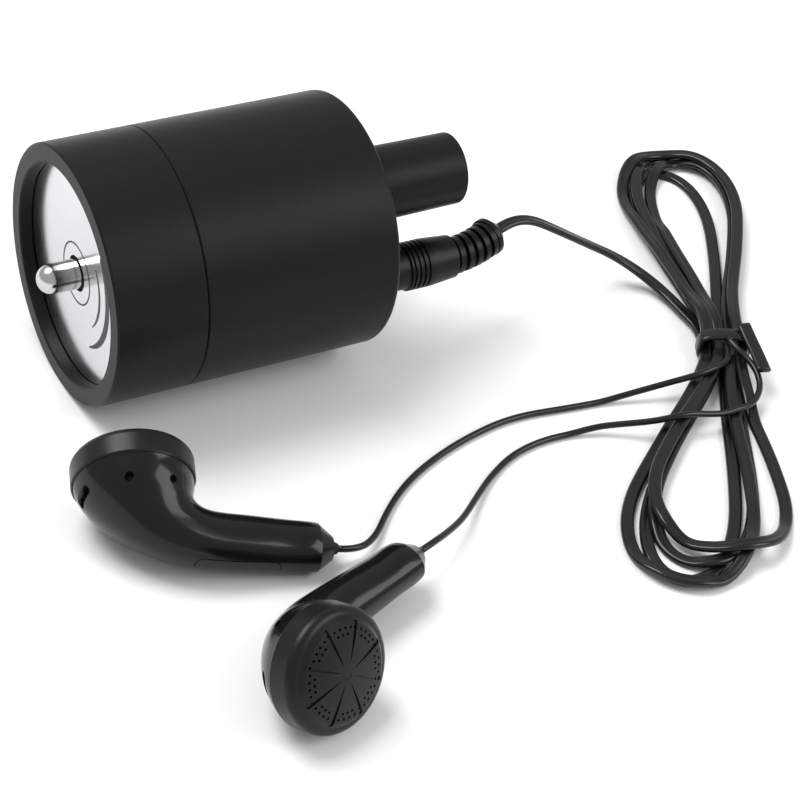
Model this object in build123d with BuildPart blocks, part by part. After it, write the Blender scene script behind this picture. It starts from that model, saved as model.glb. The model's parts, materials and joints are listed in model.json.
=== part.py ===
"""Contact-pickup listening amplifier for watch and clock work: a turned housing with a sensing
probe at the front, a volume knob and headphone jack at the rear, and a wired pair of earbuds.

Millimetres, +Z up. The housing lies on its side with its axis along X and its probe facing -X.
The bench is z = 0, and the origin is the middle of the footprint of the housing and earbuds.
"""
from build123d import *
from math import cos, pi, radians, sin, tan
import os

os.makedirs("parts", exist_ok=True)

# ---------------------------------------------------------------- driving dimensions
housing_r = 20.0            # outside radius of the turned housing
housing_length = 46.3       # bezel face to rear face
seam_x = 14.36              # where the screwed front ring meets the rear housing
seam_gap = 0.05             # each side of the seam line
front_x = -25.87            # bezel face in the part's frame
axis_y = 31.15              # housing axis in the part's frame

bezel_r = 17.0              # opening of the bezel lip
recess = 2.0                # bezel face down to the label plate
module_r = 17.6             # sensor module, held behind the lip
module_bore_r = 17.8
thread_r = 18.5             # spigot of the rear housing, plain in place of its thread
thread_bore_r = 18.58
wall = 2.4
rear_wall = 2.5

probe_r = 2.3
probe_reach = 4.13          # tip in front of the bezel face
probe_neck_r = 2.0          # where it passes through the bush
plate_hole_r = 2.8

knob_y, knob_z = -3.5, 7.8  # knob axis from the housing axis
knob_r, knob_end_r = 5.85, 5.65
knob_length = 16.6
shaft_r = 3.0
running_gap = 0.05

jack_y, jack_z = -9.0, -5.34
plug_r = 3.85
pin_r = 1.75                # 3.5 mm stereo plug
pin_length = 14.0

bud_r = 8.9                 # earbud cap
bud_tilt = 0.8              # stem leans back from the plane of the cap
stem_back = 8.5             # stem axis behind the cap's seam
stem_end = 28.2             # stem end from the cap's axis

twin_d = 2.1                # flat twin lead, across its two cores
single_d = 1.05

# ---------------------------------------------------------------- places
rear_x = housing_length
housing_axis = Plane(origin=(front_x, axis_y, housing_r), x_dir=(1, 0, 0), z_dir=(0, -1, 0))
knob_axis = Plane(origin=housing_axis.from_local_coords((0, knob_z, -knob_y)),
                  x_dir=(1, 0, 0), z_dir=(0, -1, 0))
jack_axis = Plane(origin=housing_axis.from_local_coords((0, jack_z, -jack_y)),
                  x_dir=(1, 0, 0), z_dir=(0, -1, 0))


def on_bench(x, y, z):
    """A point given from the foot of the bezel face, in the part's frame."""
    return Vector(front_x + x, axis_y + y, z)


def across(axis, x):
    """The plane square to a turned axis at x along it: its own x is world Y, its own y is world Z."""
    return Plane(origin=axis.from_local_coords((x, 0, 0)), x_dir=(0, 1, 0), z_dir=(1, 0, 0))


def turned(axis, outline):
    """A solid turned about the x axis of the plane, from an outline of (along, radius) points."""
    with BuildPart() as solid:
        with BuildSketch(axis):
            with BuildLine():
                Polyline(*outline, close=True)
            make_face()
        revolve(axis=Axis(axis.origin, axis.x_dir))
    return solid.part


def disc(axis, start, end, outer_r, inner_r=0.0):
    """A washer, or a plain disc, square to the axis."""
    return turned(axis, [(start, inner_r), (start, outer_r), (end, outer_r), (end, inner_r)])


def save(piece, name):
    """Label a finished piece and write it under its node name."""
    piece.label = name
    export_step(piece, f"parts/{name}.step")


# ---------------------------------------------------------------- front ring and its clip
clip_start, clip_end, clip_r = 8.0, 8.8, 18.3
ring_outline = [
    (0, bezel_r), (0, housing_r), (seam_x - seam_gap, housing_r), (seam_x - seam_gap, thread_bore_r),
    (clip_end + 0.4, thread_bore_r), (clip_end + 0.4, module_bore_r), (clip_end, module_bore_r),
    (clip_end, clip_r), (clip_start, clip_r), (clip_start, module_bore_r),
    (recess, module_bore_r), (recess, bezel_r),
]
with BuildPart() as front_ring:
    add(turned(housing_axis, ring_outline))
    face_edges = front_ring.edges().filter_by(GeomType.CIRCLE).group_by(Axis.X)
    chamfer(face_edges[0].sort_by(SortBy.RADIUS)[-1], length=0.3)
    chamfer(face_edges[0].sort_by(SortBy.RADIUS)[0], length=0.25)
    chamfer(face_edges[-1].sort_by(SortBy.RADIUS)[-1], length=0.15)
save(front_ring.part, "front_ring")

with BuildPart() as retaining_ring:
    add(disc(housing_axis, clip_start, clip_end, clip_r, bezel_r - 0.4))
    with BuildSketch(across(housing_axis, clip_start)):
        with Locations((0, -bezel_r)):
            Rectangle(5, 6)
    extrude(amount=clip_end - clip_start, mode=Mode.SUBTRACT)
save(retaining_ring.part, "retaining_ring")

# ---------------------------------------------------------------- sensor module
plate_start = recess + 0.15
plate_end = plate_start + 0.6
front_wall_end = plate_end + 1.25
disc_start = front_wall_end + 1.0
disc_end = disc_start + 0.3
ceramic_end = disc_end + 0.25
cavity_end = 7.0
module_end = clip_start - 0.15
cavity_r = 14.0
bush_r = 4.2

save(disc(housing_axis, plate_start, plate_end, module_r, plate_hole_r), "label_plate")
save(turned(housing_axis, [
    (plate_end, bush_r), (plate_end, module_r), (cavity_end, module_r), (cavity_end, cavity_r),
    (front_wall_end, cavity_r), (front_wall_end, bush_r)]), "sensor_carrier")
save(disc(housing_axis, plate_end, front_wall_end, bush_r, probe_neck_r), "probe_bush")
save(disc(housing_axis, front_wall_end, disc_start, 11.0, 8.0), "support_ring")
save(disc(housing_axis, disc_start, disc_end, 10.0), "piezo_disc")
save(disc(housing_axis, disc_end, ceramic_end, 7.0), "piezo_ceramic")
save(disc(housing_axis, disc_end, cavity_end, 12.5, 8.5), "damping_ring")

with BuildPart() as carrier_cover:
    add(disc(housing_axis, cavity_end, module_end, module_r))
    with BuildSketch(across(housing_axis, cavity_end)):
        with Locations((12.0, 3.0)):
            Circle(1.5)
    extrude(amount=module_end - cavity_end, mode=Mode.SUBTRACT)
save(carrier_cover.part, "carrier_cover")

tip_centre = probe_r - probe_reach
neck_start = plate_start - 0.15
with BuildPart() as probe:
    with BuildSketch(housing_axis):
        with BuildLine():
            dome = CenterArc((tip_centre, 0), probe_r, 90, 90)
            Polyline(dome @ 0, (neck_start, probe_r), (neck_start, probe_neck_r),
                     (front_wall_end, probe_neck_r), (front_wall_end, 5.0),
                     (disc_start, 5.0), (disc_start, 0), dome @ 1)
        make_face()
    revolve(axis=Axis(housing_axis.origin, housing_axis.x_dir))
save(probe.part, "probe")

# ---------------------------------------------------------------- rear housing
spigot_start = clip_end + 0.6
spigot_inner_r = 16.6
inner_r = housing_r - wall
groove_r = 17.5
shoulder = seam_x + seam_gap
inner_end = rear_x - rear_wall
bushing_r = 3.4
jack_bushing_r = 3.0
with BuildPart() as rear_housing:
    add(turned(housing_axis, [
        (spigot_start, spigot_inner_r), (spigot_start, thread_r), (shoulder - 1.6, thread_r),
        (shoulder - 1.6, groove_r), (shoulder - 0.4, groove_r), (shoulder - 0.4, thread_r),
        (shoulder, thread_r), (shoulder, housing_r), (rear_x, housing_r), (rear_x, 0),
        (inner_end, 0), (inner_end, inner_r), (shoulder + 2, inner_r), (shoulder + 1, spigot_inner_r)]))
    outer = rear_housing.faces().filter_by(GeomType.CYLINDER).sort_by(SortBy.AREA)[-1].edges()
    rims = outer.filter_by(GeomType.CIRCLE).sort_by(Axis.X)
    chamfer(rims[0], length=0.15)
    fillet(rims[-1], radius=0.9)
    with BuildSketch(across(knob_axis, inner_end)):
        Circle(bushing_r)
    extrude(amount=rear_wall, mode=Mode.SUBTRACT)
    with BuildSketch(across(jack_axis, inner_end)):
        Circle(jack_bushing_r)
    extrude(amount=rear_wall, mode=Mode.SUBTRACT)
save(rear_housing.part, "rear_housing")

with BuildPart() as seal_ring:
    with BuildSketch(housing_axis):
        with Locations((shoulder - 1.0, groove_r + 0.5)):
            Circle(0.5)
    revolve(axis=Axis(housing_axis.origin, housing_axis.x_dir))
save(seal_ring.part, "seal_ring")

# ---------------------------------------------------------------- volume control and knob
pot_r = 6.0
pot_start = inner_end - 6.5
bushing_end = rear_x + 2.2
nut_end = rear_x + 1.5
knob_start = rear_x + 0.4
knob_end = knob_start + knob_length
shaft_start = pot_start + 1.0
shaft_end = rear_x + 12.0
save(turned(knob_axis, [
    (pot_start, 0), (pot_start, pot_r), (inner_end, pot_r), (inner_end, bushing_r),
    (bushing_end, bushing_r), (bushing_end, shaft_r + running_gap),
    (shaft_start - 0.3, shaft_r + running_gap), (shaft_start - 0.3, 0)]), "pot_body")

with BuildPart() as pot_nut:
    with BuildSketch(across(knob_axis, rear_x)):
        RegularPolygon(radius=4.6, side_count=6)
        Circle(bushing_r, mode=Mode.SUBTRACT)
    extrude(amount=nut_end - rear_x)
save(pot_nut.part, "pot_nut")
save(disc(knob_axis, shaft_start, shaft_end, shaft_r), "pot_shaft")

knob_recess_end = rear_x + 3.0
screw_x = rear_x + 8.0
screw_r = 1.25
with BuildPart() as volume_knob:
    add(turned(knob_axis, [
        (knob_start, 4.9), (knob_start, knob_r), (knob_end, knob_end_r), (knob_end, 0),
        (shaft_end, 0), (shaft_end, shaft_r), (knob_recess_end, shaft_r), (knob_recess_end, 4.9)]))
    end_edges = volume_knob.edges().filter_by(GeomType.CIRCLE).group_by(Axis.X)
    fillet(end_edges[-1].sort_by(SortBy.RADIUS)[-1], radius=0.35)
    chamfer(end_edges[0].sort_by(SortBy.RADIUS)[-1], length=0.2)
    with BuildSketch(Plane(knob_axis.from_local_coords((screw_x, 0, 0)), z_dir=(0, 1, 0))):
        Circle(screw_r)
    extrude(amount=knob_r + 1, mode=Mode.SUBTRACT)
    add(disc(knob_axis, shaft_start, shaft_end, shaft_r), mode=Mode.SUBTRACT)
save(volume_knob.part, "volume_knob")

with BuildPart() as knob_screw:
    with BuildSketch(Plane(knob_axis.from_local_coords((screw_x, 0, -shaft_r - 0.05)), z_dir=(0, 1, 0))):
        Circle(screw_r)
    extrude(amount=2.1)
    with BuildSketch(Plane(knob_axis.from_local_coords((screw_x, 0, -shaft_r - 2.15)), z_dir=(0, -1, 0))):
        RegularPolygon(radius=0.75, side_count=6)
    extrude(amount=1.0, mode=Mode.SUBTRACT)
save(knob_screw.part, "knob_screw")

# ---------------------------------------------------------------- headphone jack
jack_start = inner_end - 12.0
jack_end = rear_x + 2.0
jack_bore_r = pin_r + running_gap
with BuildPart() as jack_socket:
    with BuildSketch(across(jack_axis, jack_start)):
        RectangleRounded(8.0, 8.0, 0.6)
    extrude(amount=inner_end - jack_start)
    with BuildSketch(across(jack_axis, inner_end)):
        Circle(jack_bushing_r)
    extrude(amount=jack_end - inner_end)
    with BuildSketch(across(jack_axis, jack_end)):
        Circle(jack_bore_r)
    extrude(amount=-(pin_length + 0.6), mode=Mode.SUBTRACT)
save(jack_socket.part, "jack_socket")

with BuildPart() as jack_nut:
    with BuildSketch(across(jack_axis, rear_x)):
        Circle(4.0)
        Circle(jack_bushing_r, mode=Mode.SUBTRACT)
        with PolarLocations(4.0, 24):
            Circle(0.18, mode=Mode.SUBTRACT)
    extrude(amount=1.6)
save(jack_nut.part, "jack_nut")

# ---------------------------------------------------------------- amplifier board
board_start, board_end = 27.5, 28.7
post_places = [(13.5 * cos(radians(a)), 13.5 * sin(radians(a))) for a in (0, 160, 280)]
wire_place = (13.0, 6.0)
with BuildPart() as circuit_board:
    with BuildSketch(across(housing_axis, board_start)):
        Circle(inner_r - 0.6)
        with Locations(*post_places):
            Circle(1.0, mode=Mode.SUBTRACT)
    extrude(amount=board_end - board_start)
save(circuit_board.part, "circuit_board")

with BuildPart() as board_posts:
    with BuildSketch(across(housing_axis, board_end)):
        with Locations(*post_places):
            RegularPolygon(radius=2.0, side_count=6)
            Circle(1.0, mode=Mode.SUBTRACT)
    extrude(amount=inner_end - board_end)
save(board_posts.part, "board_posts")

with BuildPart() as board_screws:
    with BuildSketch(across(housing_axis, board_start - 1.3)):
        with Locations(*post_places):
            Circle(1.9)
    extrude(amount=1.3)
    with BuildSketch(across(housing_axis, board_start)):
        with Locations(*post_places):
            Circle(0.98)
    extrude(amount=6.0)
    with BuildSketch(across(housing_axis, board_start - 1.3)):
        with Locations(*post_places):
            Rectangle(2.4, 0.45)
            Rectangle(0.45, 2.4)
    extrude(amount=0.7, mode=Mode.SUBTRACT)
save(board_screws.part, "board_screws")

with BuildPart() as amplifier_chip:
    with BuildSketch(across(housing_axis, board_start - 1.7)):
        with Locations((-7.5, -10.5)):
            RectangleRounded(6.0, 4.0, 0.2)
    extrude(amount=1.7)
save(amplifier_chip.part, "amplifier_chip")

with BuildPart() as capacitors:
    with BuildSketch(across(housing_axis, board_end)):
        with Locations((7.5, -9.0), (9.5, 8.5)):
            Circle(2.5)
    extrude(amount=7.0)
    chamfer(capacitors.edges().group_by(Axis.X)[-1], length=0.3)
save(capacitors.part, "capacitors")

# ---------------------------------------------------------------- batteries
cell_r, cell_height, cell_count = 5.8, 5.35, 3
cell_axis_x = 18.5
stack_half = cell_height * cell_count / 2
holder_wall = 1.4
contact = 0.4
cell_plane = Plane(origin=housing_axis.from_local_coords((cell_axis_x, 0, 0)),
                   x_dir=(1, 0, 0), z_dir=(0, 1, 0))
holder_half = stack_half + contact + holder_wall
with BuildPart() as battery_holder:
    with BuildSketch(cell_plane.offset(-holder_half)):
        with Locations(((board_start - cell_axis_x) / 2, 0)):
            Rectangle(board_start - cell_axis_x, 2 * cell_r + 2.4)
    extrude(amount=2 * holder_half)
    with BuildSketch(cell_plane.offset(-holder_half)):
        Circle(cell_r + 1.2)
    extrude(amount=holder_wall)
    with BuildSketch(cell_plane.offset(holder_half - holder_wall)):
        Circle(cell_r + 1.2)
    extrude(amount=holder_wall)
    with BuildSketch(cell_plane.offset(-stack_half - contact)):
        Circle(cell_r + 0.1)
    extrude(amount=2 * (stack_half + contact), mode=Mode.SUBTRACT)
save(battery_holder.part, "battery_holder")

with BuildPart() as battery_cells:
    for number in range(cell_count):
        base = number * cell_height - stack_half + 0.03
        with BuildSketch(cell_plane.offset(base)):
            Circle(cell_r)
        extrude(amount=cell_height - 0.9)
        with BuildSketch(cell_plane.offset(base + cell_height - 0.9)):
            Circle(cell_r - 0.9)
        extrude(amount=0.84)
save(battery_cells.part, "battery_cells")

with BuildPart() as battery_contacts:
    for start in (-stack_half - contact, stack_half):
        with BuildSketch(cell_plane.offset(start)):
            Circle(3.6)
        extrude(amount=contact - 0.02)
save(battery_contacts.part, "battery_contacts")

with BuildPart() as sensor_wires:
    for step in (0.0, 1.4):
        with BuildLine():
            lead = FilletPolyline(
                housing_axis.from_local_coords((module_end + 0.5, 3.0 + step, -12.0)),
                housing_axis.from_local_coords((14.0, 3.6 + step, -12.2)),
                housing_axis.from_local_coords((20.0, 5.4 + step, -13.2)),
                housing_axis.from_local_coords((board_start, wire_place[1] + step, -wire_place[0])),
                radius=3.0)
        with BuildSketch(Plane(lead @ 0, z_dir=lead % 0)):
            Circle(0.4)
        sweep(path=lead)
save(sensor_wires.part, "sensor_wires")

# ---------------------------------------------------------------- plug
plug_start = jack_end + 0.1
collar_end, collar_r = 53.2, plug_r - 0.35
groove_places = [53.9, 54.75, 55.6, 56.45]
taper_start, plug_end = 57.5, 62.05
plug_outline = [(plug_start, 0), (plug_start, collar_r - 0.15), (plug_start + 0.2, collar_r),
                (collar_end, collar_r), (collar_end + 0.25, plug_r)]
for place in groove_places:
    plug_outline += [(place - 0.2, plug_r), (place - 0.15, plug_r - 0.3),
                     (place + 0.15, plug_r - 0.3), (place + 0.2, plug_r)]
plug_outline += [(taper_start, plug_r), (plug_end, plug_r - 0.4), (plug_end, 0)]
save(turned(jack_axis, plug_outline), "plug_body")

pin_tip = plug_start - pin_length
band = 0.7
ring_start = pin_tip + 5.2
sleeve_start = ring_start + 3.0
save(disc(jack_axis, sleeve_start + band, plug_start, pin_r), "plug_sleeve")
save(disc(jack_axis, ring_start + band, sleeve_start, pin_r), "plug_ring")
save(turned(jack_axis, [(pin_tip, 0), (pin_tip, 0.5), (pin_tip + 1.5, pin_r), (pin_tip + 2.4, pin_r),
                        (pin_tip + 3.4, 1.3), (pin_tip + 4.0, pin_r), (ring_start, pin_r),
                        (ring_start, 0)]), "plug_tip")
with BuildPart() as plug_insulators:
    for start in (ring_start, sleeve_start):
        add(disc(jack_axis, start, start + band, pin_r - 0.03))
save(plug_insulators.part, "plug_insulators")

# the ribbed strain relief bends gently sideways and up; its ribs are discs strung on that bend
rib_count = 5
rib_pitch = 1.55
rib_turn = 4.0              # degrees of bend from one rib to the next
rib_r, rim_r = 3.0, 3.15
relief_rim, relief_end = 0.8, 2.4
relief_root = jack_axis.from_local_coords((plug_end, 0, 0))


def relief_plane(number):
    """The plane at the foot of one rib, turned a little further than the one before it."""
    place, heading = Vector(relief_root), Vector(1, 0, 0)
    for bend in range(number):
        turn = radians(rib_turn * (bend + 1))
        heading = Vector(cos(turn), sin(turn) * 0.9, sin(turn) * 0.44)
        place = place + heading * rib_pitch
    return Plane(origin=place, z_dir=heading)


with BuildPart() as plug_relief:
    for number in range(rib_count):
        with BuildSketch(relief_plane(number)):
            Circle(2.3)
        extrude(amount=rib_pitch + 0.1)
        with BuildSketch(relief_plane(number).offset(0.6)):
            Circle(rib_r)
        extrude(amount=rib_pitch - 0.65)
    with BuildSketch(relief_plane(rib_count)):
        Circle(rim_r)
    extrude(amount=relief_rim)
    with BuildSketch(relief_plane(rib_count).offset(relief_rim)):
        Circle(rim_r)
    with BuildSketch(relief_plane(rib_count).offset(relief_end)):
        Circle(1.5)
    loft()
save(plug_relief.part, "plug_relief")


# ---------------------------------------------------------------- cords
def cord(route, diameter, name):
    """A plain round tube along straight runs joined by arcs as large as the runs allow."""
    points = [Vector(*point) for point in route]
    runs = [(after - before).length for before, after in zip(points, points[1:])]
    radii = []
    for number in range(1, len(points) - 1):
        turn = (points[number] - points[number - 1]).get_angle(points[number + 1] - points[number])
        radii.append(0.45 * min(runs[number - 1], runs[number]) / tan(radians(turn) / 2))
    with BuildPart() as tube:
        with BuildLine() as path:
            FilletPolyline(*points, radius=radii)
        spine = path.wires()[0]
        with BuildSketch(Plane(spine @ 0, z_dir=spine % 0)):
            Circle(diameter / 2)
        sweep(path=spine)
    expected = pi * diameter ** 2 / 4 * spine.length
    print(f"{name}: path {spine.length:.1f} mm, volume {tube.part.volume / expected:.4f} of expected,",
          "runs", [round(run, 1) for run in runs], "radii", [round(radius, 1) for radius in radii])
    save(tube.part, name)


cord_exit = relief_plane(rib_count).offset(relief_end)
lead_route = [
    cord_exit.origin,
    cord_exit.origin + cord_exit.z_dir * 3.2,
    on_bench(79.0, -6.0, 15.8),
    on_bench(84.0, -7.0, 13.0),
    on_bench(90.0, -7.4, 9.2),
    on_bench(96.6, -7.9, 5.1),
    on_bench(100.8, -10.9, 2.4),
    on_bench(102.6, -15.6, 1.3),
    on_bench(102.9, -20.6, 1.1),
    on_bench(103.1, -25.6, 1.1),
]
cord(lead_route, twin_d, "lead_cord")

# the hank is tied at its waist by a turn of its own cord, with a lobe of loops at each end
hank_height = 5.2
with BuildPart() as cord_hank:
    for circles in (
        [((106.0, -33.0), 4.2), ((120.2, 7.0), 11.6)],
        [((102.0, -38.0), 5.6), ((80.6, -63.6), 11.4), ((69.0, -67.4), 9.2)],
    ):
        with BuildSketch():
            with BuildLine():
                for (x, y), radius in circles:
                    CenterArc((front_x + x, axis_y + y), radius, 0, 360)
            make_hull()
    extrude(amount=hank_height)
save(cord_hank.part, "cord_hank")

# ---------------------------------------------------------------- earbuds
# one earbud about its own origin: +Z is the way its cap faces, and its stem runs towards +X
cap_skirt = 3.1


def dome(edge_r, edge_z, top_z):
    """Rim, middle and top of a spherical crown's profile, square to the axis at its top."""
    crown_r = (edge_r**2 + (top_z - edge_z)**2) / (2 * (top_z - edge_z))
    middle_r = edge_r / 2
    return (edge_r, edge_z), (middle_r, top_z - crown_r + (crown_r**2 - middle_r**2)**0.5), (0, top_z)


ray_depth = 0.28
ray_turn = 10.0
with BuildPart() as bud_rays:
    with BuildSketch(Plane.XY.offset(4.0)):
        with PolarLocations(1.5, 8, start_angle=ray_turn):
            Polygon((0, 0.03), (5.7, 0.34), (5.7, -0.34), (0, -0.03), align=None)
    extrude(amount=3)
    with BuildSketch(Plane.XZ):
        with BuildLine():
            Line((0, 7), (0, 5.7 - ray_depth))
            ThreePointArc(*dome(6.9, 4.95 - ray_depth, 5.7 - ray_depth))
            Polyline((6.9, 4.95 - ray_depth), (7.6, 4.35 - ray_depth), (7.6, 7), (0, 7))
        make_face()
    revolve(axis=Axis.Z, mode=Mode.INTERSECT)
with BuildPart() as bud_holes:
    with BuildSketch(Plane.XY.offset(3.5)):
        with PolarLocations(6.25, 40):
            Circle(0.2)
        for sector in range(8):
            first = ray_turn + 45 * sector + 13.5
            with PolarLocations(5.45, 3, start_angle=first, angular_range=18, endpoint=True):
                Circle(0.2)
    extrude(amount=3)
with BuildPart() as bud_cap:
    with BuildSketch(Plane.XZ):
        with BuildLine():
            Polyline((7.9, 0), (bud_r - 0.15, 0), (bud_r, 0.25), (bud_r, cap_skirt))
            RadiusArc((bud_r, cap_skirt), (7.6, 4.35), -1.4)
            Line((7.6, 4.35), (6.9, 4.95))
            ThreePointArc(*dome(6.9, 4.95, 5.7))
            Line((0, 5.7), (0, 4.8))
            ThreePointArc(*dome(6.6, 4.1, 4.8))
            Polyline((6.6, 4.1), (7.9, 2.9), (7.9, 0))
        make_face()
    revolve(axis=Axis.Z)
    add(bud_rays.part, mode=Mode.SUBTRACT)
    add(bud_holes.part, mode=Mode.SUBTRACT)

driver_depth = 3.2
driver_bore_r = 7.0
with BuildPart() as bud_driver:
    with BuildSketch(Plane.XY.offset(-driver_depth)):
        Circle(driver_bore_r - 0.4)
    extrude(amount=driver_depth - 1.0)
    with BuildSketch(Plane.XY.offset(-1.0)):
        Circle(driver_bore_r)
    extrude(amount=1.4)

# sections of the shell from the cap's seam round into the stem: place along +X, place along Z,
# tilt from the plane of the cap, half depth, half width
bud_sections = [
    (0.0, 0.0, 0, 8.6, 8.6),
    (0.4, -1.6, 4, 8.15, 8.2),
    (1.6, -3.8, 15, 7.0, 7.3),
    (3.6, -5.95, 33, 5.65, 5.7),
    (6.8, -7.85, 57, 4.7, 4.5),
    (11.0, -8.6, 80, 4.3, 3.8),
    (15.0, -8.7, 89, 4.2, 3.55),
    (18.7, -8.75, 89, 4.05, 3.35),
    (22.4, -8.8, 89, 3.9, 3.2),
    (26.0, -8.85, 89, 3.75, 3.0),
]
bud_tail = (stem_end, -8.9, 89, 1.9, 1.6)


def bud_section(along, up, tilt):
    """The plane of one section of the earbud's shell."""
    lean = radians(tilt)
    return Plane(origin=(along, 0, up), x_dir=(cos(lean), 0, sin(lean)), z_dir=(sin(lean), 0, -cos(lean)))


stem_axis = Plane(origin=(0, 0, -stem_back), x_dir=(0, 1, 0),
                  z_dir=(cos(radians(bud_tilt)), 0, -sin(radians(bud_tilt))))
with BuildPart() as bud_body:
    for along, up, tilt, half_depth, half_width in bud_sections:
        with BuildSketch(bud_section(along, up, tilt)):
            Ellipse(half_depth, half_width)
    loft()
    for along, up, tilt, half_depth, half_width in (bud_sections[-1], bud_tail):
        with BuildSketch(bud_section(along, up, tilt)):
            Ellipse(half_depth, half_width)
    loft(ruled=True)
    with BuildSketch(Plane.XY.offset(-driver_depth)):
        Circle(driver_bore_r)
    extrude(amount=driver_depth, mode=Mode.SUBTRACT)
    with BuildSketch(stem_axis.offset(4)):
        Circle(0.8)
    extrude(amount=stem_end, mode=Mode.SUBTRACT)

bud_split = Plane(origin=stem_axis.origin, x_dir=(0, 1, 0),
                  z_dir=(sin(radians(bud_tilt)), 0, cos(radians(bud_tilt))))
cover_start = 10.0
with BuildPart() as bud_stem_cover:
    add(bud_body.part)
    split(bisect_by=bud_split, keep=Keep.TOP)
    split(bisect_by=Plane(origin=(cover_start, 0, 0), z_dir=(1, 0, 0)), keep=Keep.TOP)

# the oval inlay sits in a pocket in the back of the stem, flush with it
inlay_middle, inlay_length, inlay_width, inlay_gap = 14.0, 12.6, 2.6, 0.12
inlay_foot = Plane(origin=(inlay_middle, 0, -16.4), x_dir=stem_axis.z_dir, z_dir=bud_split.z_dir)
inlay_reach = 4.4
with BuildPart() as bud_inlay:
    with BuildSketch(inlay_foot):
        SlotOverall(inlay_length - 2 * inlay_gap, inlay_width - 2 * inlay_gap)
    extrude(amount=inlay_reach)
    add(bud_body.part, mode=Mode.INTERSECT)

with BuildPart() as bud_shell:
    add(bud_body.part)
    add(bud_stem_cover.part, mode=Mode.SUBTRACT)
    with BuildSketch(inlay_foot):
        SlotOverall(inlay_length, inlay_width)
    extrude(amount=inlay_reach, mode=Mode.SUBTRACT)
    for side in (-1, 1):
        for along in (-2.4, 3.9):
            with BuildSketch(Plane(origin=(along, side * 9.0, -3.2), z_dir=(0, -side, 0))):
                Circle(0.6)
            extrude(amount=2.8, mode=Mode.SUBTRACT)
    with BuildSketch(Plane(origin=(-9.0, 0, -2.4), x_dir=(0, 1, 0), z_dir=(1, 0, 0))):
        SlotOverall(5.0, 1.3)
    extrude(amount=2.2, mode=Mode.SUBTRACT)

grommet_length = 0.9
with BuildPart() as bud_grommet:
    with BuildSketch(stem_axis.offset(stem_end / cos(radians(bud_tilt)))):
        Circle(1.1)
    with BuildSketch(stem_axis.offset(stem_end / cos(radians(bud_tilt)) + grommet_length)):
        Circle(0.75)
    loft()


def bud_pose(middle, yaw, rise, roll):
    """The plane of an earbud on the bench: its stem heads along yaw and rise, rolled about itself."""
    heading = Vector(1, 0, 0).rotate(Axis.Y, -rise).rotate(Axis.Z, yaw)
    up = Vector(0, 0, 1).rotate(Axis.Y, -rise).rotate(Axis.Z, yaw)
    facing = up.rotate(Axis((0, 0, 0), heading), roll)
    lean = radians(bud_tilt)
    return Plane(origin=middle, x_dir=heading * cos(lean) + facing * sin(lean),
                 z_dir=facing * cos(lean) - heading * sin(lean))


bud_poses = {
    "left": bud_pose(on_bench(-3.2, -34.3, 8.66), -17.8, -7.9, -76.4),
    "right": bud_pose(on_bench(5.63, -74.57, 8.3), 18.5, 1.0, 65.1),
}
bud_pieces = {
    "cap": bud_cap, "driver": bud_driver, "shell": bud_shell, "stem_cover": bud_stem_cover,
    "inlay": bud_inlay, "grommet": bud_grommet,
}
bud_lead_points = {
    "left": [(28.6, -49.8, 1.3), (33.2, -45.0, 0.75), (38.4, -40.8, 0.56), (44.4, -37.6, 0.56),
             (52.6, -34.7, 0.56), (62.0, -32.9, 0.56), (72.0, -34.2, 0.56), (81.5, -34.2, 0.56),
             (90.0, -34.8, 0.56), (97.8, -35.6, 0.56)],
    "right": [(37.6, -54.9, 4.1), (42.0, -52.0, 2.7), (46.8, -47.8, 1.4), (52.0, -43.6, 0.6),
              (58.2, -40.3, 0.56), (65.2, -39.2, 0.56), (72.6, -40.2, 0.56), (79.6, -42.0, 0.56),
              (86.2, -44.5, 0.56)],
}
grommet_end = stem_axis.offset(stem_end / cos(radians(bud_tilt)) + grommet_length)
exit_run = 3.0
for side, pose in bud_poses.items():
    for name, piece in bud_pieces.items():
        placed = pose.location * piece.part
        save(placed, f"{side}_bud_{name}")
    exits = [pose.from_local_coords(grommet_end.origin),
             pose.from_local_coords(grommet_end.offset(exit_run).origin)]
    cord(exits + [on_bench(*point) for point in bud_lead_points[side]], single_d, f"{side}_lead")
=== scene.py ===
"""Looks of the contact microphone amplifier and its earphones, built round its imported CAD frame."""

import json
from math import cos, pi, radians, sin

import bpy
import numpy as np
from mathutils import Matrix, Vector


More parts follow.
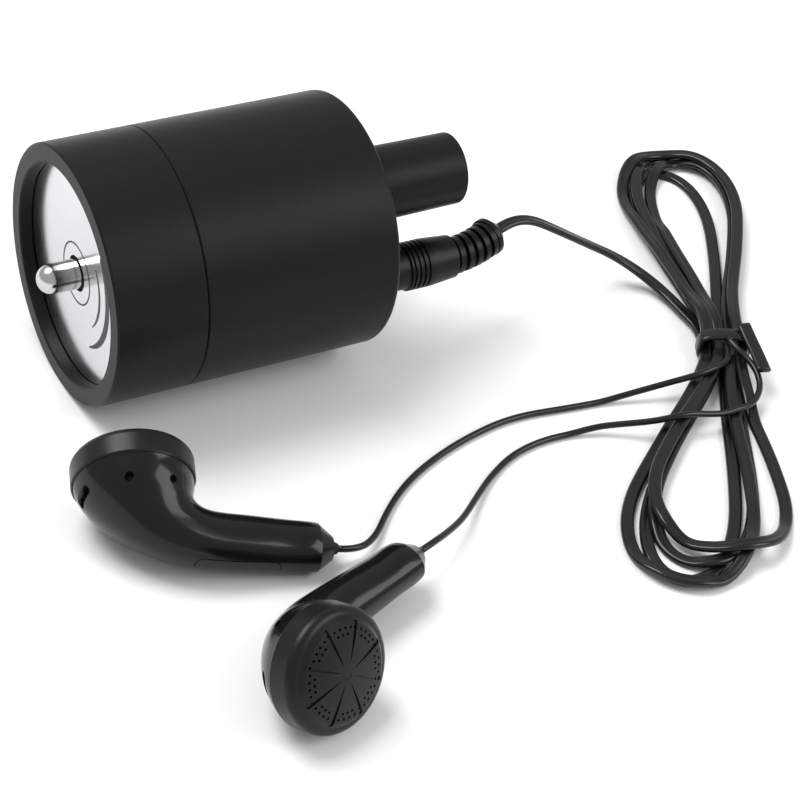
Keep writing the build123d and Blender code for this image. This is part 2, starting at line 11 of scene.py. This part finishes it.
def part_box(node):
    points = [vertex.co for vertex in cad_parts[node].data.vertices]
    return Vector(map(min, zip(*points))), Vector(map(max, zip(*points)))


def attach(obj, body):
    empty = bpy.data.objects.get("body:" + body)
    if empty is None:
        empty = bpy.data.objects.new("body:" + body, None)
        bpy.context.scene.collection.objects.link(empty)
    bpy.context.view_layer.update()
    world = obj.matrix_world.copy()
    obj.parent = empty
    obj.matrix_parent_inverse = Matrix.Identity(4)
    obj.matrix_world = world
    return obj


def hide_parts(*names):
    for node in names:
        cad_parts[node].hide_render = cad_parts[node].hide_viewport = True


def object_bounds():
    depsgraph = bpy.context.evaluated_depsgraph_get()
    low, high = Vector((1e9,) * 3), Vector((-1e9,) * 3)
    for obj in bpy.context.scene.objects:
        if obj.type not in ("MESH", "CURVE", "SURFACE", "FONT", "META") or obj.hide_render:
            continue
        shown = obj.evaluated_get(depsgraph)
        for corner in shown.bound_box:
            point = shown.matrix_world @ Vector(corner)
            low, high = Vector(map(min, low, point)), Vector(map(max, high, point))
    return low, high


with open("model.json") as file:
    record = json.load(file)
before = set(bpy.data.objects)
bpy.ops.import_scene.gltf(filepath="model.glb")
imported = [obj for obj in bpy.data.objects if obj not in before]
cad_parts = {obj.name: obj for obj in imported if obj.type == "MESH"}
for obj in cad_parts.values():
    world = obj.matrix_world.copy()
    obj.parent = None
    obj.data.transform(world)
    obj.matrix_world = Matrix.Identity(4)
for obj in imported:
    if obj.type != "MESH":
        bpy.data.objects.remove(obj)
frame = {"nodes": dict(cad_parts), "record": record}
cad_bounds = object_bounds()
nodes = frame["nodes"]
record = frame["record"]
MM = 0.001

# the foot of the bezel face, from which the part's own places along the bench are measured
bezel_low, bezel_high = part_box("front_ring")
foot = Vector((bezel_low.x, (bezel_low.y + bezel_high.y) / 2, 0))


def on_bench(x, y, z):
    """A point given in millimetres from the foot of the bezel face, in the shared frame in metres."""
    return foot + Vector((x, y, z)) * MM


# ---------------------------------------------------------------- camera
view_turn = radians(-35.025)     # round from the -Y side
view_rise = radians(40.0)
view_roll = radians(9.706)
view_far = 419.03                # mm from the target
camera_target = on_bench(63.694, 0, -23.244)
sensor_width = 36.0
focal = 110.6


def camera_axes():
    """Right, up and forward of the camera."""
    away = Vector((sin(view_turn) * cos(view_rise), -cos(view_turn) * cos(view_rise), sin(view_rise)))
    forward = -away
    right = forward.cross(Vector((0, 0, 1))).normalized()
    up = right.cross(forward)
    return (right * cos(view_roll) + up * sin(view_roll),
            up * cos(view_roll) - right * sin(view_roll), forward)


def make_camera():
    """The camera that sees the scene as the photo does."""
    right, up, forward = camera_axes()
    data = bpy.data.cameras.new("camera")
    data.sensor_width = sensor_width
    data.lens = focal
    data.clip_start, data.clip_end = 0.01, 10
    camera = bpy.data.objects.new("camera", data)
    bpy.context.scene.collection.objects.link(camera)
    turn = Matrix((right, up, -forward)).transposed().to_4x4()
    camera.matrix_world = Matrix.Translation(camera_target - forward * view_far * MM) @ turn
    bpy.context.scene.camera = camera


make_camera()


# ---------------------------------------------------------------- mesh helpers
def piece(name, points, faces, smooth=True):
    """A new mesh object in the shared frame."""
    mesh = bpy.data.meshes.new(name)
    mesh.from_pydata([tuple(p) for p in points], [], faces)
    mesh.update()
    for face in mesh.polygons:
        face.use_smooth = smooth
    made = bpy.data.objects.new(name, mesh)
    bpy.context.scene.collection.objects.link(made)
    return made


def tube(name, path, section, across, closed=False):
    """A section of (across, up) pairs swept along a path; across(i) gives the section's first axis."""
    points, faces, count = [], [], len(section)
    for number, place in enumerate(path):
        side, up = across(number)
        points += [place + side * a + up * b for a, b in section]
    rings = len(path)
    for ring in range(rings if closed else rings - 1):
        here, after = ring * count, (ring + 1) % rings * count
        for n in range(count):
            m = (n + 1) % count
            faces.append((here + n, here + m, after + m, after + n))
    if not closed:
        faces.append(tuple(range(count - 1, -1, -1)))
        faces.append(tuple(range((rings - 1) * count, rings * count)))
    return piece(name, points, faces)


# ---------------------------------------------------------------- cords
twin_width, core_r = 2.1 * MM, 0.53 * MM
twin_lift = 1.1 * MM             # how far one strand of the twin lead lifts the next
single_d = 1.05 * MM
single_r = single_d / 2
step = 0.7 * MM                  # between the points of a cord's path
climb_share = 0.3                # share of the width over which a strand climbs on to another
own_gap = 8 * MM                 # a strand never lies over itself nearer than this along its length
ease = 2 * MM                    # reach of the smoothing of a cord's heights
settling_rounds = 24             # passes in which the heights settle


def spline(name, points):
    """A NURBS curve of order 3 through given points."""
    curve = bpy.data.curves.new(name, "CURVE")
    curve.dimensions = "3D"
    curve.resolution_u = 8
    line = curve.splines.new("NURBS")
    line.points.add(len(points) - 1)
    for knot, place in zip(line.points, points):
        knot.co = (*place, 1)
    line.order_u = 3
    line.use_endpoint_u = True
    made = bpy.data.objects.new(name, curve)
    bpy.context.scene.collection.objects.link(made)
    return made


def followed(curve_object):
    """The points down the middle of a curve that has no bevel."""
    mesh = bpy.data.meshes.new_from_object(curve_object)
    line = [v.co.copy() for v in mesh.vertices]
    bpy.data.meshes.remove(mesh)
    return line


def evenly(line, spacing):
    """The line again, with points about spacing apart."""
    line = np.array(line, float)
    along = np.concatenate([[0], np.cumsum(np.linalg.norm(np.diff(line, axis=0), axis=1))])
    at = np.linspace(0, along[-1], int(along[-1] / spacing) + 1)
    return np.stack([np.interp(at, along, line[:, k]) for k in range(3)], axis=1)


def smoothed(heights, reach):
    """Heights smoothed along the line by a running mean."""
    padded = np.pad(heights, reach, mode="edge")
    return np.convolve(padded, np.ones(2 * reach + 1) / (2 * reach + 1), mode="valid")


def lift_over(near, width, thick):
    """How far strands lift one that is this near to them: by thick, and by less beside their edges."""
    return thick * np.minimum(1, (width - near) / (climb_share * width))


def lie_over(line, under, width, thick, fall):
    """The line lifted where it crosses the points under it, or its own earlier points.

    Two strands touch when they are nearer than width, and one then lies higher than the other by thick.
    Beside a crossing the lift goes back down with the slope fall.
    """
    line = line.copy()
    floor = line[:, 2].copy()
    crossing = []
    for number in range(len(line)):
        earlier = max(0, number - int(own_gap / step))
        near = np.linalg.norm(line[:earlier, :2] - line[number, :2], axis=1)
        hits = np.nonzero(near < width)[0]
        crossing.append((hits, near[hits]))
    below = np.zeros(len(line))
    if len(under):
        for number in range(len(line)):
            near = np.linalg.norm(under[:, :2] - line[number, :2], axis=1)
            hits = near < width
            if hits.any():
                below[number] = (under[hits, 2] + lift_over(near[hits], width, thick)).max()
    heights = floor.copy()
    for _ in range(settling_rounds):
        wanted = np.maximum(floor, below)
        for number, (hits, near) in enumerate(crossing):
            if len(hits):
                wanted[number] = max(wanted[number],
                                     (heights[hits] + lift_over(near, width, thick)).max())
        lift = wanted - floor
        for number in range(1, len(lift)):
            lift[number] = max(lift[number], lift[number - 1] - fall * step)
        for number in range(len(lift) - 2, -1, -1):
            lift[number] = max(lift[number], lift[number + 1] - fall * step)
        heights = floor + np.maximum(smoothed(lift, int(ease / step)), 0)
    line[:, 2] = heights
    return line


# the lead from the plug to the hank, and then the hank's turns, pinched together at its waist
lead_start = on_bench(71.849, -6.818, 15.727)
lead_points = [
    lead_start,
    on_bench(74.855, -5.833, 16.209),
    on_bench(79.0, -6.0, 15.8),
    on_bench(84.0, -7.0, 13.0),
    on_bench(90.0, -7.4, 9.2),
    on_bench(96.6, -7.9, 5.1),
    on_bench(100.8, -10.9, 2.4),
    on_bench(102.6, -15.6, 1.3),
    on_bench(102.9, -20.6, 1.1),
    on_bench(103.1, -25.6, 1.1),
]
waist = (103.3, -31.6)
waist_across = (0.889, -0.457)    # direction across the hank at its waist, to the right in the photo
# mm to the left (-) or right (+) at which the strands pass the waist, every other turn further out
first_pass = -2.6
left_pass = (-1.0, -3.2)
right_pass = (1.3, 3.2)
lying = core_r / MM               # height in mm of a strand that lies on the bench
# each turn: reach, width and heading of its lobe below the waist and of its lobe above it
turns = [
    ((56, 14, 229), (51, 13, 69)),
    ((52, 16, 231), (56, 18, 65)),
    ((57, 20, 229), (54, 15, 63.5)),
    ((49.5, 22, 234.5), (55.5, 20.5, 66.5)),
]
lobe_points = 12
lobe_power = 2.4                  # the higher it is, the nearer to its far end a lobe is widest
lobe_peak = 0.615                 # largest value of sin(turn) * sin(turn / 2) ** lobe_power


def lobe(reach, width, heading, side, start_off, end_off):
    """A drop-shaped loop out from the waist and back, starting on one side, as points on the bench."""
    out = Vector((cos(radians(heading)), sin(radians(heading))))
    right = Vector(waist_across)
    square = Vector((-out.y, out.x))
    square = square if square.dot(right) > 0 else -square
    points = []
    for number in range(1, lobe_points + 1):
        turn = 2 * pi * number / lobe_points
        bulge = side * width / 2 / lobe_peak * sin(turn) * abs(sin(turn / 2)) ** lobe_power
        far = reach * (1 - cos(turn)) / 2
        share = number / lobe_points
        off = (start_off * (1 - share) + end_off * share) * (1 - sin(turn / 2))
        place = Vector(waist) + out * far + square * bulge + right * off
        points.append(on_bench(place.x, place.y, lying))
    return points


def hank_points():
    """The turns one after another: down on the left of the waist, and up on its right."""
    points, off = [], first_pass
    for number, (below, above) in enumerate(turns):
        left_off, right_off = left_pass[number % 2], right_pass[number % 2]
        points += lobe(*below, -1, off, right_off)
        points += lobe(*above, 1, right_off, left_off)
        off = left_off
    return points


def flat_section():
    """The outline of two cores side by side with a shallow groove between them."""
    outline, spread = [], twin_width / 2 - core_r
    groove_at, parts = 125, 8     # degrees round a core to the groove, and parts of each core's outline
    for sign in (1, -1):
        for number in range(parts + 1):
            turn = radians(groove_at * (2 * number / parts - 1))
            outline.append((sign * (spread + core_r * cos(turn)), sign * core_r * sin(turn)))
    return outline


twin_guide = spline("twin_guide", lead_points + hank_points())
nothing_under = np.empty((0, 3))
twin_line = lie_over(evenly(followed(twin_guide), step), nothing_under, twin_width, twin_lift, fall=0.32)
bpy.data.objects.remove(twin_guide)
twin_path = [Vector(p) for p in twin_line]


def lying_flat(path):
    """For each point of a path, the direction across it and the direction up from it."""
    def axes(number):
        along = path[min(number + 1, len(path) - 1)] - path[max(number - 1, 0)]
        across = along.cross(Vector((0, 0, 1))).normalized()
        return across, across.cross(along).normalized()
    return axes


twin = tube("twin_lead", twin_path, flat_section(), lying_flat(twin_path))
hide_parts("lead_cord", "cord_hank")
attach(twin, "earphones")

# the single leads run from the earbuds to where the twin lead splits, under the tie; the tails are
# the part that lies over the hank
single_lying = 0.56               # height in mm of a single lead that lies on the bench
left_start = on_bench(21.572, -50.93, 2.664)
right_start = on_bench(30.95, -57.969, 5.232)
left_points = [
    left_start,
    on_bench(24.401, -51.838, 2.252),
    on_bench(28.6, -49.8, 1.3),
    on_bench(33.2, -45.0, 0.75),
    on_bench(38.4, -40.8, single_lying),
    on_bench(44.4, -37.6, single_lying),
    on_bench(52.6, -34.7, single_lying),
    on_bench(62.0, -32.9, single_lying),
    on_bench(72.0, -34.2, single_lying),
]
left_tail = [(77.3, -34.7), (81.1, -35.3), (85.1, -36.0), (89.0, -36.7), (93.6, -37.6),
             (96.8, -37.5), (99.7, -36.5), (101.8, -34.6), (102.6, -32.4)]
right_points = [
    right_start,
    on_bench(33.795, -57.017, 5.284),
    on_bench(37.6, -54.9, 4.1),
    on_bench(42.0, -52.0, 2.7),
    on_bench(46.8, -47.8, 1.4),
    on_bench(52.0, -43.6, 0.6),
    on_bench(58.2, -40.3, single_lying),
    on_bench(65.2, -39.2, single_lying),
    on_bench(72.6, -40.2, single_lying),
]
right_tail = [(76.7, -42.0), (80.0, -43.6), (83.4, -44.8), (89.1, -45.8), (94.9, -46.3),
              (99.0, -45.8), (102.3, -43.3), (103.7, -40.2), (103.6, -37.2), (102.8, -34.8),
              (102.8, -32.6)]


def single_lead(name, points, tail, node, under):
    """A round single lead that lies over the hank where it meets it."""
    guide = spline(name + "_guide", points + [on_bench(x, y, single_r / MM) for x, y in tail])
    touching = (twin_width + single_d) / 2
    line = lie_over(evenly(followed(guide), step), under, touching, single_d, fall=0.2)
    bpy.data.objects.remove(guide)
    path = [Vector(p) for p in line]
    sides = 12
    turns_round = [2 * pi * number / sides for number in range(sides)]
    round_section = [(single_r * cos(turn), single_r * sin(turn)) for turn in turns_round]
    made = tube(name, path, round_section, lying_flat(path))
    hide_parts(node)
    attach(made, "earphones")
    return made, line


left_single, left_line = single_lead("left_single_lead", left_points, left_tail,
                                     node="left_lead", under=twin_line)
right_single, _ = single_lead("right_single_lead", right_points, right_tail,
                              node="right_lead",
                              under=np.concatenate([twin_line, left_line]))


# ---------------------------------------------------------------- tie round the hank's waist
def hank_section():
    """The left edge, right edge and top of the strands under the tie, in mm from the waist and bench."""
    reach = 1.5                   # along the hank, each way
    strand_side, strand_top = 1.0, 0.6
    middle, side = Vector(waist), Vector(waist_across)
    near = []
    for p in twin_line:
        place = Vector(((p[0] - foot.x) / MM, (p[1] - foot.y) / MM)) - middle
        if abs(place.dot(Vector((-side.y, side.x)))) < reach:
            near.append((place.dot(side), p[2] / MM))
    spread = [a for a, _ in near]
    return min(spread) - strand_side, max(spread) + strand_side, max(z for _, z in near) + strand_top


def rounded_strip(half_width, half_thick):
    """The section of a flat tie with rounded edges."""
    outline, parts = [], 6        # parts of each rounded edge
    for sign in (1, -1):
        for number in range(parts + 1):
            turn = radians(180 * number / parts - 90)
            outline.append((sign * (half_width - half_thick + half_thick * cos(turn)),
                            sign * half_thick * sin(turn)))
    return outline


def make_tie():
    """A flat band round the waist of the hank, and its free tail over the strands."""
    low, high, top = hank_section()
    side = Vector((*waist_across, 0))
    along = Vector((-side.y, side.x, 0))
    middle = (low + high) / 2
    half_w, half_h = (high - low) / 2 + 0.1, top / 2 + 0.2
    lowest = 0.25                 # mm from the bench to the middle of the band's thickness
    slant = 0.1                   # of the band against the hank
    squareness = 0.55             # 1 is an ellipse, and less is nearer to a box
    ring, steps = [], 48
    for number in range(steps):
        turn = 2 * pi * number / steps
        a = half_w * (1 if cos(turn) >= 0 else -1) * abs(cos(turn)) ** squareness
        b = half_h * (1 if sin(turn) >= 0 else -1) * abs(sin(turn)) ** squareness
        ring.append(on_bench(*waist, lowest) + (side * (middle + a) + along * slant * a) * MM
                    + Vector((0, 0, (half_h + b) * MM)))

    def axes(number):
        heading = (ring[(number + 1) % steps] - ring[number - 1]).normalized()
        across = (along - heading * along.dot(heading)).normalized()
        return across, across.cross(heading).normalized()

    band_strip = rounded_strip(half_width=1.25 * MM, half_thick=0.42 * MM)
    band = tube("tie_band", ring, band_strip, axes, closed=True)
    tail_z = top + 0.7
    tail_points = [
        on_bench(106.5, -31.3, tail_z + 0.9),
        on_bench(106.2, -32.8, tail_z + 0.6),
        on_bench(105.7, -34.9, tail_z + 0.3),
        on_bench(105.0, -37.9, tail_z),
        on_bench(104.0, -41.2, tail_z - 0.3),
    ]
    guide = spline("tie_guide", tail_points)
    path = [Vector(p) for p in evenly(followed(guide), 0.5 * MM)]
    bpy.data.objects.remove(guide)
    tail_strip = rounded_strip(half_width=1.15 * MM, half_thick=0.4 * MM)
    tail = tube("tie_tail", path, tail_strip, lying_flat(path))
    for made in (band, tail):
        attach(made, "earphones")
    return band, tail


ties = make_tie()


# ---------------------------------------------------------------- print on the label plate
plate_low, plate_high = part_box("label_plate")
plate_middle = (plate_low + plate_high) / 2


def printed_arc(name, radius, width, start, end):
    """A thin printed arc on the plate, facing the front; angles run from -Y towards +Z.

    The radius and the width are in mm. A whole ring keeps its width, and an arc narrows to its ends.
    """
    thick = 0.03 * MM
    end_share, fullness = 0.25, 0.6      # width of an arc's ends, and how soon it widens from them
    degrees_a_part, fewest = 5, 12
    front = plate_low.x - thick
    points, faces = [], []
    count = max(fewest, int(abs(end - start) / degrees_a_part))
    whole = abs(end - start) >= 360
    rows = count if whole else count + 1
    for number in range(rows):
        share = number / count
        turn = radians(start + (end - start) * share)
        half = width / 2 if whole else width / 2 * max(end_share, sin(pi * share) ** fullness)
        for depth in (front, plate_low.x):
            for r in (radius - half, radius + half):
                points.append(Vector((depth, plate_middle.y - r * cos(turn) * MM,
                                      plate_middle.z + r * sin(turn) * MM)))
    for number in range(count):
        a, b = number * 4, (number + 1) % rows * 4
        faces += [(a, a + 1, b + 1, b), (a + 1, a + 3, b + 3, b + 1),
                  (a + 3, a + 2, b + 2, b + 3), (a + 2, a, b, b + 2)]
    if not whole:
        last = count * 4
        faces += [(0, 2, 3, 1), (last, last + 1, last + 3, last + 2)]
    made = piece(name, points, faces, smooth=False)
    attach(made, "sensor")
    return made


prints = [
    printed_arc("printed_ring", radius=4.8, width=0.28, start=0, end=360),
    printed_arc("printed_arc_outer", radius=11.2, width=1.3, start=-58, end=48),
    printed_arc("printed_arc_inner", radius=8.4, width=0.6, start=-40, end=40),
]


# ---------------------------------------------------------------- materials
# scales of the noise textures in object space, in features a metre
turning_scale = 5200
grain_scale = 2600
patch_scale = 90
smear_scale = 160
polish_scale = 240
# depths of the bump, in metres
turned_depth = 0.000012
grain_depth = 0.000006
polished_depth = 0.000004


def principled(name, color, roughness, metallic=0.0, coat=0.0, specular=0.5):
    """A principled material with plain values on its own sockets, with its node tree and shader."""
    made = bpy.data.materials.new(name)
    made.use_nodes = True
    shader = made.node_tree.nodes["Principled BSDF"]
    shader.inputs["Base Color"].default_value = (*color, 1)
    shader.inputs["Roughness"].default_value = roughness
    shader.inputs["Metallic"].default_value = metallic
    shader.inputs["Coat Weight"].default_value = coat
    shader.inputs["Specular IOR Level"].default_value = specular
    return made, made.node_tree, shader


def add(tree, kind, **values):
    """A node with its inputs set by name."""
    made = tree.nodes.new(kind)
    for key, value in values.items():
        made.inputs[key].default_value = value
    return made


def math_node(tree, operation, *terms):
    """The result of a math node fed by sockets or numbers."""
    made = tree.nodes.new("ShaderNodeMath")
    made.operation = operation
    for number, term in enumerate(terms):
        if isinstance(term, (int, float)):
            made.inputs[number].default_value = term
        else:
            tree.links.new(term, made.inputs[number])
    return made.outputs[0]


def vary(tree, shader, source, socket, low, high):
    """A texture's value spread between two values of a shader socket."""
    spread = add(tree, "ShaderNodeMapRange")
    spread.inputs["To Min"].default_value = low
    spread.inputs["To Max"].default_value = high
    tree.links.new(source, spread.inputs["Value"])
    tree.links.new(spread.outputs["Result"], shader.inputs[socket])


def tint(tree, shader, source, first, second, low=0.35, high=0.65):
    """Two colours mixed by a texture's value."""
    ramp = tree.nodes.new("ShaderNodeValToRGB")
    ramp.color_ramp.elements[0].position, ramp.color_ramp.elements[1].position = low, high
    ramp.color_ramp.elements[0].color = (*first, 1)
    ramp.color_ramp.elements[1].color = (*second, 1)
    tree.links.new(source, ramp.inputs["Fac"])
    tree.links.new(ramp.outputs["Color"], shader.inputs["Base Color"])


def bump(tree, shader, source, distance):
    """The shader's normal roughened by a texture's value."""
    made = add(tree, "ShaderNodeBump", Strength=1.0, Distance=distance)
    tree.links.new(source, made.inputs["Height"])
    tree.links.new(made.outputs["Normal"], shader.inputs["Normal"])


def noise(tree, vector, scale, detail=3.0, roughness=0.6):
    """The value of a noise texture at a place."""
    made = add(tree, "ShaderNodeTexNoise", Scale=scale, Detail=detail, Roughness=roughness)
    tree.links.new(vector, made.inputs["Vector"])
    return made.outputs["Fac"]


def object_place(tree):
    """The place of a point in its object's space."""
    return tree.nodes.new("ShaderNodeTexCoord").outputs["Object"]


def turned_place(tree, middle):
    """A place that changes along the X axis through middle and outward from it, and hardly round it."""
    change_round = 0.0004         # metres a radian
    parts = tree.nodes.new("ShaderNodeSeparateXYZ")
    tree.links.new(object_place(tree), parts.inputs[0])
    y = math_node(tree, "SUBTRACT", parts.outputs["Y"], middle[1])
    z = math_node(tree, "SUBTRACT", parts.outputs["Z"], middle[2])
    y_squared, z_squared = math_node(tree, "MULTIPLY", y, y), math_node(tree, "MULTIPLY", z, z)
    radius = math_node(tree, "SQRT", math_node(tree, "ADD", y_squared, z_squared))
    angle = math_node(tree, "ARCTAN2", y, z)
    joined = tree.nodes.new("ShaderNodeCombineXYZ")
    tree.links.new(parts.outputs["X"], joined.inputs["X"])
    tree.links.new(radius, joined.inputs["Y"])
    tree.links.new(math_node(tree, "MULTIPLY", angle, change_round), joined.inputs["Z"])
    return joined.outputs["Vector"]


def turned_black(name, middle, tone=0.008):
    """Black anodised metal, turned and then blasted to a satin."""
    made, tree, shader = principled(name, (tone, tone, tone * 1.05), 0.4, specular=0.13)
    lines = noise(tree, turned_place(tree, middle), turning_scale, detail=2)
    grain = noise(tree, object_place(tree), turning_scale, detail=3, roughness=0.7)
    patches = noise(tree, object_place(tree), patch_scale, detail=4)
    vary(tree, shader, patches, "Roughness", 0.34, 0.46)
    tint(tree, shader, grain, (tone * 0.75,) * 3, (tone * 1.5, tone * 1.5, tone * 1.55), 0.3, 0.75)
    height = math_node(tree, "ADD", math_node(tree, "MULTIPLY", lines, 0.8),
                       math_node(tree, "MULTIPLY", grain, 0.7))
    bump(tree, shader, height, turned_depth)
    return made


def moulded(name, tone, rough, scale=grain_scale, coat=0.0, spread=0.06):
    """A moulding or coating with a faint grain and slightly uneven gloss."""
    made, tree, shader = principled(name, tone, rough, coat=coat, specular=0.2)
    shader.inputs["Coat Roughness"].default_value = 0.08
    grain = noise(tree, object_place(tree), scale, detail=3)
    smears = noise(tree, object_place(tree), smear_scale, detail=5)
    vary(tree, shader, smears, "Roughness", rough - spread, rough + spread)
    tint(tree, shader, smears, tuple(c * 0.85 for c in tone), tuple(c * 1.2 for c in tone))
    bump(tree, shader, grain, grain_depth)
    return made


def bright(name, color, rough, middle=None, depth=grain_depth):
    """Bright metal with fine turning lines when it has a middle, or a fine grain when it has none."""
    made, tree, shader = principled(name, color, rough, metallic=1.0)
    place = turned_place(tree, middle) if middle else object_place(tree)
    lines = noise(tree, place, turning_scale, detail=3)
    smears = noise(tree, object_place(tree), polish_scale, detail=4)
    vary(tree, shader, smears, "Roughness", rough * 0.8, rough * 1.25)
    tint(tree, shader, lines, tuple(c * 0.93 for c in color), color, 0.3, 0.6)
    bump(tree, shader, lines, depth)
    return made


def centre(node):
    """The middle of a CAD node's box."""
    low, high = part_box(node)
    return tuple((low + high) / 2)


def make_materials():
    """A material for every slot of the record."""
    housing, knob, probe = centre("front_ring"), centre("volume_knob"), centre("probe")
    return {
        "housing_black": turned_black("housing_black", housing),
        "knob_black": turned_black("knob_black", knob),
        "screw_black": turned_black("screw_black", knob, tone=0.012),
        "rubber_black": moulded("rubber_black", (0.018, 0.018, 0.018), 0.7),
        "bright_metal": bright("bright_metal", (0.72, 0.71, 0.69), 0.22),
        "moulded_black": moulded("moulded_black", (0.018, 0.018, 0.019), 0.45),
        "board_green": moulded("board_green", (0.02, 0.13, 0.05), 0.35),
        "brass": bright("brass", (0.78, 0.57, 0.22), 0.25),
        "capacitor_sleeve": moulded("capacitor_sleeve", (0.02, 0.025, 0.10), 0.3),
        "cell_steel": bright("cell_steel", (0.75, 0.74, 0.72), 0.18),
        "wire_red": moulded("wire_red", (0.42, 0.02, 0.015), 0.35),
        "label_silver": bright("label_silver", (0.66, 0.68, 0.69), 0.17, housing, polished_depth),
        "probe_steel": bright("probe_steel", (0.60, 0.59, 0.57), 0.16, probe, polished_depth),
        "ceramic_white": moulded("ceramic_white", (0.75, 0.73, 0.68), 0.5),
        "plug_black": moulded("plug_black", (0.006, 0.006, 0.006), 0.36),
        "plug_gold": bright("plug_gold", (0.90, 0.68, 0.30), 0.15),
        "cord_black": moulded("cord_black", (0.007, 0.007, 0.007), 0.3, scale=1500, coat=0.35),
        "bud_satin": moulded("bud_satin", (0.009, 0.009, 0.009), 0.32),
        "bud_gloss": moulded("bud_gloss", (0.005, 0.005, 0.005), 0.2, coat=0.2, spread=0.04),
    }


materials = make_materials()
print_black, _, _ = principled("print_black", (0.02, 0.02, 0.025), 0.5)


def dress(target, made):
    """Gives an object one material in place of its own."""
    target.data.materials.clear()
    target.data.materials.append(made)


for part in record["subparts"]:
    dress(nodes[part["node"]], materials[part["material_slot"]])
for made in (twin, left_single, right_single, *ties):
    dress(made, materials["cord_black"])
for made in prints:
    dress(made, print_black)


# ---------------------------------------------------------------- floor and light
def make_stage():
    """A white floor under an even white world."""
    size = 3.0
    floor = piece("floor", [(-size, -size, 0), (size, -size, 0), (size, size, 0), (-size, size, 0)],
                  [(0, 1, 2, 3)], smooth=False)
    made, tree, shader = principled("floor_white", (0.86, 0.86, 0.86), 0.7, specular=0.2)
    vary(tree, shader, noise(tree, object_place(tree), 40), "Roughness", 0.65, 0.75)
    dress(floor, made)
    world = bpy.data.worlds.new("studio")
    world.use_nodes = True
    sky = world.node_tree.nodes["Background"]
    sky.inputs["Color"].default_value = (1, 1, 1, 1)
    sky.inputs["Strength"].default_value = 0.55
    bpy.context.scene.world = world


def area_light(name, place, target, size, power):
    """A soft square light that looks at a point."""
    data = bpy.data.lights.new(name, "AREA")
    data.energy = power
    data.size = size
    light = bpy.data.objects.new(name, data)
    bpy.context.scene.collection.objects.link(light)
    light.location = place
    light.rotation_euler = (target - Vector(place)).to_track_quat("-Z", "Y").to_euler()


make_stage()
object_middle = (Vector(cad_bounds[0]) + Vector(cad_bounds[1])) / 2
area_light("key", (-0.25, 0.35, 0.75), object_middle, size=0.5, power=7.0)
area_light("fill", (0.6, -0.5, 0.6), object_middle, size=0.6, power=4.5)
bpy.context.scene.view_settings.view_transform = "Standard"
